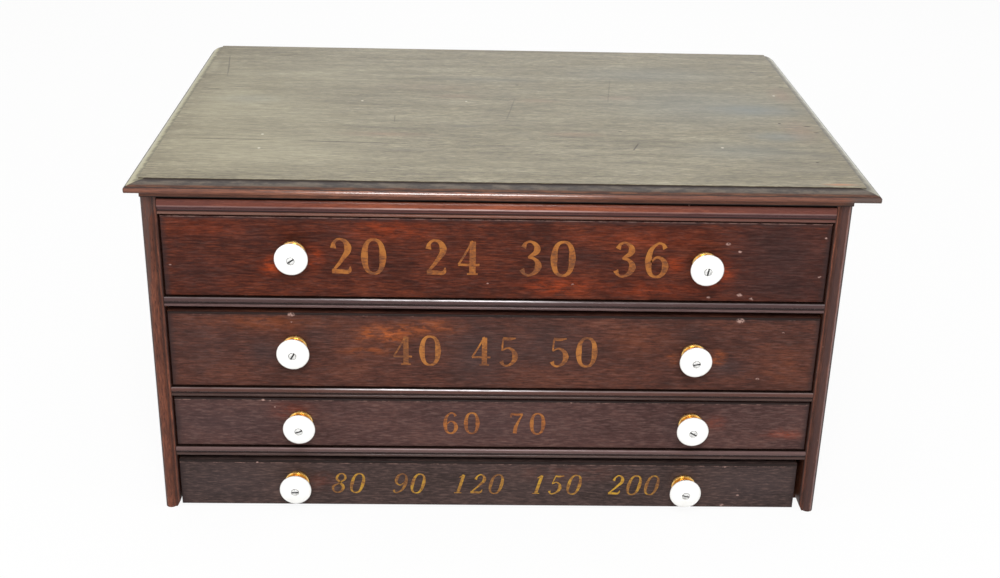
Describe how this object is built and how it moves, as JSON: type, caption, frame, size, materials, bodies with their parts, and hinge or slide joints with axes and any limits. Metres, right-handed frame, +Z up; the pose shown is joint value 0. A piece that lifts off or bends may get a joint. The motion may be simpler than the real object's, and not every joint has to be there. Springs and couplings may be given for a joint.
{
  "type": "spool cabinet",
  "caption": "Low counter-top cabinet of shallow drawers with porcelain knobs, moulded top and reeded front edges, rows inside the drawers for thread spools.",
  "frame": {"origin": "on the floor plane, under the middle of the overall box, which spans the overhanging top in X and runs from the knob heads to the back in Y", "axes": "+X to the right seen from the front, along the drawer fronts; -Y towards the front, the way the drawers open; +Z up"},
  "size_m": [0.584, 0.4284, 0.296],
  "materials": {
    "top_wood": "worn old varnish, grey and dry",
    "side_wood": "old dark varnish, satin",
    "rail_wood": "old dark varnish, gloss on the beads",
    "front_red": "varnished mahogany red, satin",
    "front_dark": "dark varnish, satin",
    "inner_wood": "unfinished, aged",
    "back_wood": "unfinished, darkened",
    "porcelain": "white glaze",
    "brass": "polished, worn",
    "gilt": "thin gold paint, worn through",
    "iron": "dull"
  },
  "bodies": {
    "carcass": {"top_board": "top_wood", "side_left": "side_wood", "side_right": "side_wood", "top_rail": "rail_wood", "divider_1": "rail_wood", "divider_2": "rail_wood", "divider_3": "rail_wood", "bottom_board": "back_wood", "back_upper": "back_wood", "back_lower": "back_wood", "runner_left_1": "inner_wood", "runner_right_1": "inner_wood", "runner_left_2": "inner_wood", "runner_right_2": "inner_wood", "runner_left_3": "inner_wood", "runner_right_3": "inner_wood", "kicker_left": "inner_wood", "kicker_right": "inner_wood", "drawer_stops": "inner_wood", "top_screws": "iron", "back_nails": "iron"},
    "drawer_1": {"drawer_1_front": "front_red", "drawer_1_left": "inner_wood", "drawer_1_right": "inner_wood", "drawer_1_back": "inner_wood", "drawer_1_bottom": "inner_wood", "drawer_1_slats": "inner_wood", "drawer_1_knobs": "porcelain", "drawer_1_knob_bases": "brass", "drawer_1_knob_bolts": "iron"},
    "drawer_2": {"drawer_2_front": "front_red", "drawer_2_left": "inner_wood", "drawer_2_right": "inner_wood", "drawer_2_back": "inner_wood", "drawer_2_bottom": "inner_wood", "drawer_2_slats": "inner_wood", "drawer_2_knobs": "porcelain", "drawer_2_knob_bases": "brass", "drawer_2_knob_bolts": "iron"},
    "drawer_3": {"drawer_3_front": "front_dark", "drawer_3_left": "inner_wood", "drawer_3_right": "inner_wood", "drawer_3_back": "inner_wood", "drawer_3_bottom": "inner_wood", "drawer_3_slats": "inner_wood", "drawer_3_knobs": "porcelain", "drawer_3_knob_bases": "brass", "drawer_3_knob_bolts": "iron"},
    "drawer_4": {"drawer_4_front": "front_dark", "drawer_4_left": "inner_wood", "drawer_4_right": "inner_wood", "drawer_4_back": "inner_wood", "drawer_4_bottom": "inner_wood", "drawer_4_slats": "inner_wood", "drawer_4_knobs": "porcelain", "drawer_4_knob_bases": "brass", "drawer_4_knob_bolts": "iron"}
  },
  "joints": [
    {"name": "drawer_1_slide", "type": "slide", "parent": "carcass", "child": "drawer_1", "axis": [0, -1, 0], "range_m": [0, 0.27]},
    {"name": "drawer_2_slide", "type": "slide", "parent": "carcass", "child": "drawer_2", "axis": [0, -1, 0], "range_m": [0, 0.27]},
    {"name": "drawer_3_slide", "type": "slide", "parent": "carcass", "child": "drawer_3", "axis": [0, -1, 0], "range_m": [0, 0.27]},
    {"name": "drawer_4_slide", "type": "slide", "parent": "carcass", "child": "drawer_4", "axis": [0, -1, 0], "range_m": [0, 0.27]}
  ]
}
